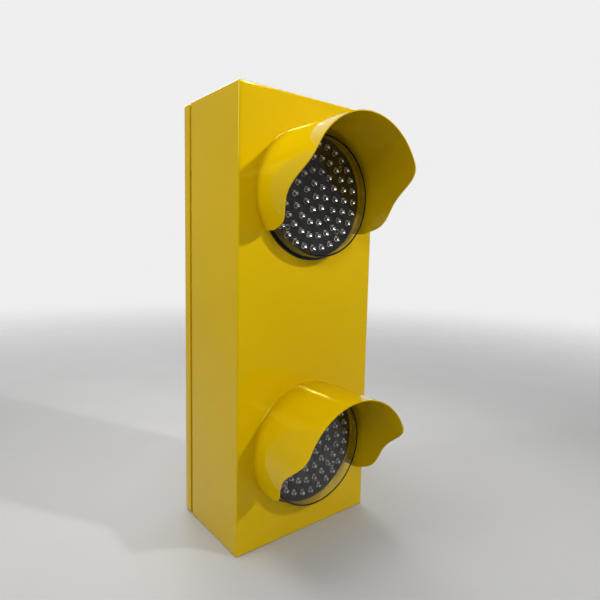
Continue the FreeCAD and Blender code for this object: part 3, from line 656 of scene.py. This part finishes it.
def visor_weld(name):
    """Thin fillet where the hood meets the panel, with tacks spaced round it."""
    low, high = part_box(name + "_visor")
    centre = LAMPS[name]
    radius = 0.5 * (high.x - low.x)
    below = math.degrees(math.asin((centre.z - low.z) / radius))
    sweep = 180.0 + 2.0 * below
    leg = FILLET_LEG * MM
    inner_r, sunk_y = radius - FILLET_SUNK * MM, FRONT_Y + FILLET_SUNK * MM
    mesh = bmesh.new()
    steps = 96
    rows = []
    for k in range(steps + 1):
        turn = -below + sweep * k / steps
        x, z = polar(1.0, turn)
        swell = leg * (1.0 + 0.25 * math.sin(turn * 0.9) * math.sin(turn * 0.37))
        corners = [(inner_r, sunk_y), (radius + swell, sunk_y),
                   (radius + 0.35 * swell, FRONT_Y - 0.35 * swell), (inner_r, FRONT_Y - swell)]
        rows.append([mesh.verts.new((centre.x + r * x, y, centre.z + r * z)) for r, y in corners])
    for here, after in zip(rows, rows[1:]):
        bridge(mesh, here, after)
    mesh.faces.new(rows[0])
    mesh.faces.new(rows[-1][::-1])
    tack_r = radius + 0.5 * MM
    for k in range(TACKS):
        turn = -below + TACK_END + (sweep - 2.0 * TACK_END) * k / (TACKS - 1)
        x, z = polar(1.0, turn)
        spot = Vector((centre.x + tack_r * x, FRONT_Y, centre.z + tack_r * z))
        bead(mesh, spot, (0.6 * x, -1.0, 0.6 * z), (-z, 0.0, x), *(size * MM for size in TACK_SIZE))
    add_piece(name + "_visor_weld", mesh, "case_paint", smooth_angle=60.0)


def seam_welds():
    """Uneven stitch welds and bare pits inside the case, along the ends of the front panel."""
    draw = random.Random(7)
    beads = bmesh.new()
    pits = bmesh.new()
    right = (1.0, 0.0, 0.0)
    clear = SEAM_CLEAR * MM
    for edge_z, up in ((CASE_TOP - WALL, 1.0), (WALL, -1.0)):
        outward = (0.0, 1.0, -up)
        x = -SEAM_REACH
        while x < SEAM_REACH:
            long = draw.uniform(2.0, 7.0)
            spot = Vector((CENTRE_X + x * MM, FRONT_Y + WALL + clear, edge_z - up * clear))
            wide = draw.uniform(1.8, 2.8)
            tall = draw.uniform(1.0, 1.7)
            bead(beads, spot, outward, right, long * MM, wide * MM, tall * MM)
            pit = spot + Vector(((0.5 * long + 1.2) * MM, -clear, up * clear))
            bead(pits, pit, outward, right, draw.uniform(1.2, 4.2) * MM, 1.5 * MM, 0.5 * MM)
            x += long + draw.uniform(4.0, 12.0)
    add_piece("inner_seam_welds", beads, "case_paint", smooth_angle=60.0)
    add_piece("inner_seam_pits", pits, "plain_steel", MATERIALS["scale"], smooth_angle=60.0)


def post_welds():
    """Small collar of weld round the foot of every door post."""
    mesh = bmesh.new()
    low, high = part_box("door_posts")
    post_r = POST_R * MM
    collar = [(post_r + r * MM, low.y + y * MM) for r, y in COLLAR_CORNERS]
    for x in (low.x + post_r, high.x - post_r):
        for z in (low.z + post_r, high.z - post_r):
            turned_ring(mesh, collar, Vector((x, 0.0, z)), 32)
    add_piece("post_welds", mesh, "case_paint", smooth_angle=60.0)


def add_details():
    for name in LAMPS:
        lead_frames(name)
        board_marks(name)
        visor_weld(name)
    seam_welds()
    post_welds()


# ---------------------------------------------------------------- stage
FLOOR_RADIUS = 3.6
FLOOR_DROP = 0.0002
# Every light aims at the upper part of the object. A row is a light's name, place, (width,
# height), watts, and spread in degrees.
AIM = Vector((0.0, -0.1, 0.68))
LIGHTS = [
    ("key", (1.14, -2.0, 1.69), (0.12, 0.12), 2.75, 50.0),
    ("fill", (-1.25, -1.85, 1.80), (0.8, 0.8), 1.7, 55.0),
    ("side", (-2.3, 0.5, 1.5), (1.0, 1.0), 1.8, 45.0),
    ("overhead", (-0.3, 0.1, 2.6), (1.2, 1.2), 29.0, 180.0),
    ("rear", (0.7, 2.4, 1.9), (1.0, 1.0), 14.0, 180.0),
]


def add_floor():
    bpy.ops.mesh.primitive_circle_add(vertices=128, radius=FLOOR_RADIUS, fill_type="NGON")
    floor = bpy.context.object
    floor.name = "floor"
    floor.location.z = -FLOOR_DROP
    floor.data.materials.append(floor_paint())


def add_light(name, location, size, watts, spread):
    """Soft panel light, unseen by the camera itself."""
    data = bpy.data.lights.new(name, "AREA")
    data.shape = "RECTANGLE"
    data.size, data.size_y = size
    data.energy = watts
    data.spread = math.radians(spread)
    light = bpy.data.objects.new(name, data)
    light.location = location
    aim = AIM - Vector(location)
    light.rotation_euler = aim.to_track_quat("-Z", "Y").to_euler()
    light.visible_camera = False
    bpy.context.scene.collection.objects.link(light)


def add_world():
    """Pale studio with its brightest wall behind the object, to the right."""
    world = bpy.data.worlds.new("studio")
    world.use_nodes = True
    toward = node(world, "ShaderNodeVectorMath")
    toward.operation = "DOT_PRODUCT"
    toward.inputs[1].default_value = (0.62, 0.78, 0.0)
    link(world, coordinates(world, "Generated"), toward.inputs[0])
    wall = node(world, "ShaderNodeMapRange", From_Min=0.40, From_Max=0.75, To_Min=0.28, To_Max=0.86)
    wall.interpolation_type = "SMOOTHSTEP"
    link(world, toward.outputs["Value"], wall.inputs["Value"])
    background = world.node_tree.nodes["Background"]
    background.inputs["Color"].default_value = (1.0, 1.0, 1.0, 1.0)
    link(world, wall.outputs["Result"], background.inputs["Strength"])
    bpy.context.scene.world = world


def add_stage():
    add_floor()
    add_world()
    bpy.context.scene.view_settings.view_transform = "Standard"
    for row in LIGHTS:
        add_light(*row)


dress_nodes()
add_wires()
add_details()
add_stage()
